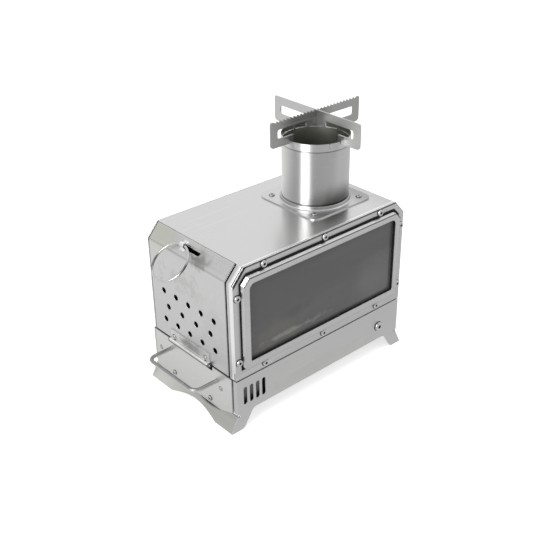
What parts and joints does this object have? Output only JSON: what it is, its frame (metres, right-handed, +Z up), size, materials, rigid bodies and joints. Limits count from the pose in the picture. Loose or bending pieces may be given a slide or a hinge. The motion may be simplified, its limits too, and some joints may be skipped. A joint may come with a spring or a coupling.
{
  "type": "camping wood stove",
  "caption": "Small box wood stove of folded stainless sheet with a long glass window, drop-down feed door, ash drawer, short round flue and lift-off cross pot stand.",
  "frame": {"origin": "on the floor, under the middle of the stove's overall box", "axes": "+Z up; the window faces -Y; the feed door and the drawer face -X"},
  "size_m": [0.2732, 0.1428, 0.28],
  "materials": {
    "shell_steel": "satin",
    "front_steel": "satin",
    "frame_steel": "satin",
    "base_steel": "satin",
    "inner_steel": "dull",
    "screw_steel": "polished",
    "wire_steel": "polished",
    "flue_steel": "bright brushed",
    "stand_steel": "satin",
    "gasket_black": "matte woven fibre",
    "window_glass": "clear, smoked by use"
  },
  "bodies": {
    "stove": {"firebox_shell": "shell_steel", "front_panel": "front_steel", "rear_panel": "front_steel", "window_frame": "frame_steel", "glass_gasket": "gasket_black", "window_glass": "window_glass", "window_retainer": "inner_steel", "window_screws": "screw_steel", "window_nuts": "inner_steel", "deck_plate": "inner_steel", "fire_grate": "inner_steel", "hinge_bracket": "frame_steel", "hinge_pin": "screw_steel", "base_front_panel": "front_steel", "base_rear_panel": "front_steel", "base_right_end": "base_steel", "base_left_apron": "base_steel", "base_floor": "inner_steel", "base_screw": "screw_steel", "base_nut": "inner_steel", "flue_flange": "frame_steel", "frame_seal": "gasket_black", "flange_screws": "screw_steel", "flange_nuts": "inner_steel", "flue_pipe": "flue_steel", "rim_band": "flue_steel"},
    "door": {"feed_door": "shell_steel", "hinge_leaf": "frame_steel", "leaf_rivets": "screw_steel", "ring_lug": "frame_steel"},
    "ring": {"pull_ring": "wire_steel"},
    "drawer": {"drawer_front": "shell_steel", "ash_tray": "inner_steel", "tray_rivets": "screw_steel", "drawer_handle": "wire_steel", "handle_clips": "inner_steel", "drawer_screws": "screw_steel", "drawer_nuts": "inner_steel"},
    "pot_stand": {"stand_plate_toothed": "stand_steel", "stand_plate_plain": "stand_steel"}
  },
  "joints": [
    {"name": "door_hinge", "type": "hinge", "parent": "stove", "child": "door", "pos_m": [-0.10875, 0.0063, 0.0615], "axis": [0, -1, 0], "range_deg": [0, 90]},
    {"name": "ring_swing", "type": "hinge", "parent": "door", "child": "ring", "pos_m": [-0.10051, 0.0156, 0.17828], "axis": [0, 1, 0], "range_deg": [-13, 170]},
    {"name": "drawer_slide", "type": "slide", "parent": "stove", "child": "drawer", "axis": [-1, 0, 0], "range_m": [0, 0.15]},
    {"name": "pot_stand_lift", "type": "slide", "parent": "stove", "child": "pot_stand", "axis": [0, 0, 1], "range_m": [0, 0.06]}
  ]
}
